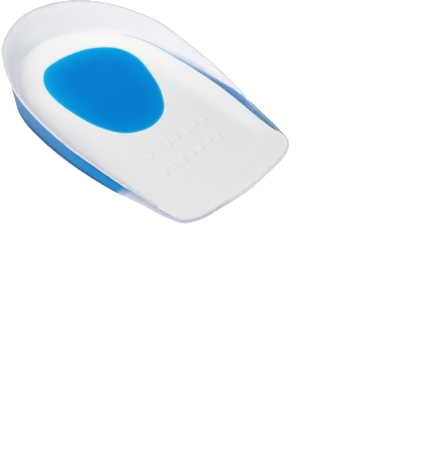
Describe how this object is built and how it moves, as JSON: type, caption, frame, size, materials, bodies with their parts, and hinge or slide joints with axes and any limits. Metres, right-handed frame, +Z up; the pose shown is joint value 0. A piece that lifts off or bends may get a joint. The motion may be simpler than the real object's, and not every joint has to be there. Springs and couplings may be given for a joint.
{
  "type": "gel heel cup insole",
  "caption": "Heel cup insole of clear silicone with a flared heel wall, a blue gel sole, a dished white bed and a soft blue egg-shaped pad under the heel.",
  "frame": {"origin": "middle of the cup's outline on the surface that it stands on", "axes": "+Y along the length, towards the heel; +X to the right; +Z up"},
  "size_m": [0.067, 0.105, 0.0207],
  "materials": {
    "clear_silicone": "clear silicone with a frosted skin",
    "blue_sole_gel": "blue gel seen through the clear wall",
    "white_bed": "matte white silicone",
    "blue_pad_gel": "soft blue gel, satin"
  },
  "bodies": {
    "root": {"cup_body": "clear_silicone", "sole_gel": "blue_sole_gel", "top_cover": "white_bed", "heel_pad": "blue_pad_gel"}
  },
  "joints": []
}
